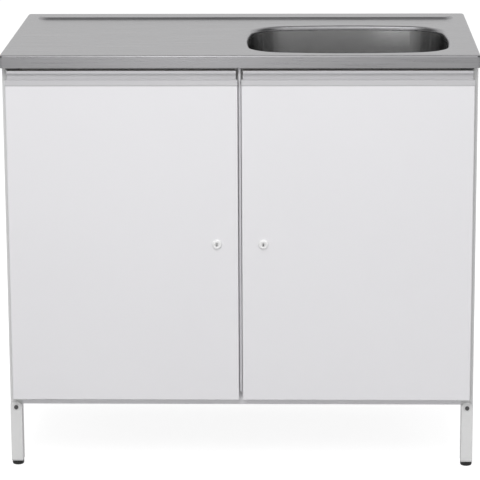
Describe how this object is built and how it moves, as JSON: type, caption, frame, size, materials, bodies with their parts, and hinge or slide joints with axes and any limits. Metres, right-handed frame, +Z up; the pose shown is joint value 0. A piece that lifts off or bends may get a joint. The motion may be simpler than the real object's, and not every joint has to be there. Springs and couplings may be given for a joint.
{
  "type": "kitchen sink unit",
  "caption": "Free-standing kitchen sink unit: stainless worktop with a pressed bowl on a white steel cupboard with hinged, lockable doors, grip strips and adjustable feet.",
  "frame": {"origin": "on the floor under the middle of the worktop", "axes": "+X to the right seen from the front, +Y to the wall behind, +Z up"},
  "size_m": [1, 0.6, 0.904],
  "materials": {
    "worktop_steel": "brushed stainless steel",
    "bowl_steel": "drawn stainless steel, satin",
    "black_steel": "blackened steel",
    "board": "chipboard, sealed edges",
    "waste_steel": "polished stainless steel",
    "seal_rubber": "black rubber",
    "trap_plastic": "white-grey moulded plastic",
    "carcass_paint": "white powder coat",
    "door_paint": "white satin powder coat",
    "grip_aluminium": "satin anodised extrusion",
    "bumper_rubber": "grey rubber",
    "hinge_plastic": "white bearing plastic",
    "lock_white": "white moulded plastic",
    "lock_steel": "nickel-plated",
    "zinc_steel": "zinc-plated steel",
    "leg_paint": "white-grey powder coat",
    "plug_plastic": "light grey plastic",
    "foot_black": "black plastic"
  },
  "bodies": {
    "cabinet": {"worktop": "worktop_steel", "sink_bowl": "bowl_steel", "worktop_core": "board", "waste_body": "waste_steel", "waste_seal": "seal_rubber", "waste_backnut": "trap_plastic", "trap_tailpiece": "trap_plastic", "trap_body": "trap_plastic", "trap_cup": "trap_plastic", "trap_outlet": "trap_plastic", "trap_nuts": "trap_plastic", "side_panel_left": "carcass_paint", "side_panel_right": "carcass_paint", "bottom_panel": "carcass_paint", "back_panel": "carcass_paint", "front_top_rail": "carcass_paint", "rear_top_rail": "carcass_paint", "centre_post": "carcass_paint", "shelf": "carcass_paint", "shelf_clips": "zinc_steel", "hinge_brackets_lower": "zinc_steel", "leg_mounts": "zinc_steel", "worktop_screws": "zinc_steel", "leg_screws": "black_steel", "hinge_brackets_upper": "black_steel", "foot_plugs": "plug_plastic", "leg_front_left": "leg_paint", "leg_front_right": "leg_paint", "leg_rear_left": "leg_paint", "leg_rear_right": "leg_paint"},
    "door_left": {"door_skin_left": "door_paint", "door_liner_left": "door_paint", "door_stiffener_left": "door_paint", "door_grip_left": "grip_aluminium", "door_bumpers_left": "bumper_rubber", "pivot_block_left": "hinge_plastic", "pivot_bush_left": "hinge_plastic", "lock_housing_left": "lock_white", "lock_nut_left": "zinc_steel"},
    "lock_left": {"lock_cylinder_left": "lock_steel", "lock_cam_left": "zinc_steel"},
    "door_right": {"door_skin_right": "door_paint", "door_liner_right": "door_paint", "door_stiffener_right": "door_paint", "door_grip_right": "grip_aluminium", "door_bumpers_right": "bumper_rubber", "pivot_block_right": "hinge_plastic", "pivot_bush_right": "hinge_plastic", "lock_housing_right": "lock_white", "lock_nut_right": "zinc_steel"},
    "lock_right": {"lock_cylinder_right": "lock_steel", "lock_cam_right": "zinc_steel"},
    "foot_front_left": {"foot_front_left": "foot_black"},
    "foot_front_right": {"foot_front_right": "foot_black"},
    "foot_rear_left": {"foot_rear_left": "foot_black"},
    "foot_rear_right": {"foot_rear_right": "foot_black"},
    "basket": {"basket_strainer": "waste_steel"}
  },
  "joints": [
    {"name": "door_left_hinge", "type": "hinge", "parent": "cabinet", "child": "door_left", "pos_m": [-0.481, -0.281, 0.51], "axis": [0, 0, -1], "range_deg": [0, 95]},
    {"name": "lock_left_turn", "type": "hinge", "parent": "door_left", "child": "lock_left", "pos_m": [-0.049, -0.28, 0.497], "axis": [0, -1, 0], "range_deg": [0, 90]},
    {"name": "door_right_hinge", "type": "hinge", "parent": "cabinet", "child": "door_right", "pos_m": [0.481, -0.281, 0.51], "axis": [0, 0, 1], "range_deg": [0, 95]},
    {"name": "lock_right_turn", "type": "hinge", "parent": "door_right", "child": "lock_right", "pos_m": [0.049, -0.28, 0.497], "axis": [0, 1, 0], "range_deg": [0, 90]},
    {"name": "foot_front_left_level", "type": "slide", "parent": "cabinet", "child": "foot_front_left", "axis": [0, 0, -1], "range_m": [0, 0.02]},
    {"name": "foot_front_right_level", "type": "slide", "parent": "cabinet", "child": "foot_front_right", "axis": [0, 0, -1], "range_m": [0, 0.02]},
    {"name": "foot_rear_left_level", "type": "slide", "parent": "cabinet", "child": "foot_rear_left", "axis": [0, 0, -1], "range_m": [0, 0.02]},
    {"name": "foot_rear_right_level", "type": "slide", "parent": "cabinet", "child": "foot_rear_right", "axis": [0, 0, -1], "range_m": [0, 0.02]},
    {"name": "basket_lift", "type": "slide", "parent": "cabinet", "child": "basket", "axis": [0, 0, 1], "range_m": [0, 0.22]}
  ]
}
